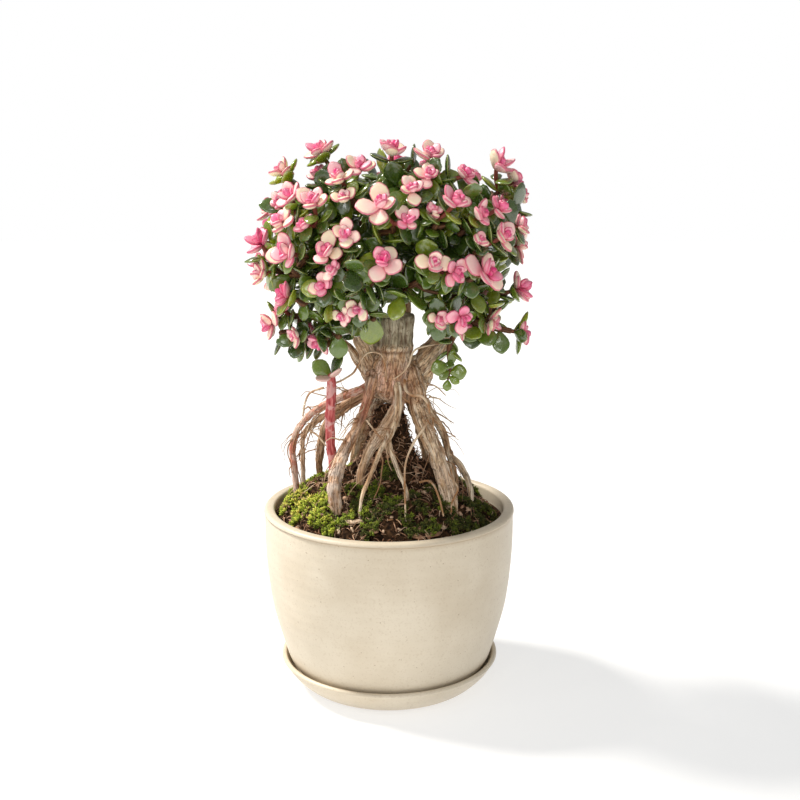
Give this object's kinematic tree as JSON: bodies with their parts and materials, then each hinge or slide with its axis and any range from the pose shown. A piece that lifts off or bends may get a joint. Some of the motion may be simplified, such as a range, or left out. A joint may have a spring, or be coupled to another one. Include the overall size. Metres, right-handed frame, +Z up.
{
  "type": "dwarf jade bonsai",
  "caption": "Small dwarf jade tree grown over its bare roots, with pink and green leaves, in a round cream stoneware pot on its saucer.",
  "frame": {"origin": "centre of the flat underside of the saucer", "axes": "+Z up along the pot's axis, -Y towards the front of the tree, +X to the right as seen from the front"},
  "size_m": [0.14, 0.132, 0.2821],
  "materials": {
    "stoneware": "satin cream with fine specks",
    "peat_and_moss": "loose dark peat with moss and bark chips",
    "bark": "rough tan bark",
    "red_bark": "smooth young bark",
    "green_leaf": "glossy and fleshy",
    "pink_leaf": "satin and fleshy"
  },
  "bodies": {
    "root": {"saucer": "stoneware", "pot": "stoneware", "soil": "peat_and_moss", "trunk_and_roots": "bark", "red_stem": "red_bark", "bough_left_low": "green_leaf", "bough_left_front": "green_leaf", "bough_left_top": "green_leaf", "bough_front_centre": "green_leaf", "bough_top": "green_leaf", "bough_right_inner": "green_leaf", "bough_right_top": "green_leaf", "bough_right_front": "green_leaf", "bough_right_low": "green_leaf", "bough_back_left": "green_leaf", "bough_back_centre": "green_leaf", "bough_back_right": "green_leaf", "spray_top_left_tip": "pink_leaf", "spray_left_shoulder": "pink_leaf", "spray_crown_left": "pink_leaf", "spray_crown_peak": "pink_leaf", "spray_crown_right": "pink_leaf", "spray_right_shoulder": "pink_leaf", "spray_left_upper": "pink_leaf", "spray_left_inner": "pink_leaf", "spray_centre_upper": "pink_leaf", "spray_centre_big": "pink_leaf", "spray_right_centre": "pink_leaf", "spray_right_inner": "pink_leaf", "spray_right_tip": "pink_leaf", "spray_right_mid": "pink_leaf", "spray_left_tip": "pink_leaf", "spray_left_front": "pink_leaf", "spray_centre_left": "pink_leaf", "spray_centre": "pink_leaf", "spray_centre_right": "pink_leaf", "spray_right_front": "pink_leaf", "spray_left_three": "pink_leaf", "spray_left_lower": "pink_leaf", "spray_right_end": "pink_leaf", "spray_left_low": "pink_leaf", "spray_front_low": "pink_leaf", "spray_right_low_front": "pink_leaf", "spray_right_low_tip": "pink_leaf", "spray_left_low_small": "pink_leaf", "spray_back_crown_left": "pink_leaf", "spray_back_crown": "pink_leaf", "spray_back_crown_right": "pink_leaf", "spray_back_left_shoulder": "pink_leaf", "spray_left_side": "pink_leaf", "spray_back_left_upper": "pink_leaf", "spray_back_centre_upper": "pink_leaf", "spray_back_right_upper": "pink_leaf", "spray_right_side": "pink_leaf", "spray_back_left_mid": "pink_leaf", "spray_back_centre": "pink_leaf", "spray_back_right_mid": "pink_leaf", "spray_back_low_left": "pink_leaf", "spray_back_low": "pink_leaf", "spray_back_low_right": "pink_leaf"}
  },
  "joints": []
}
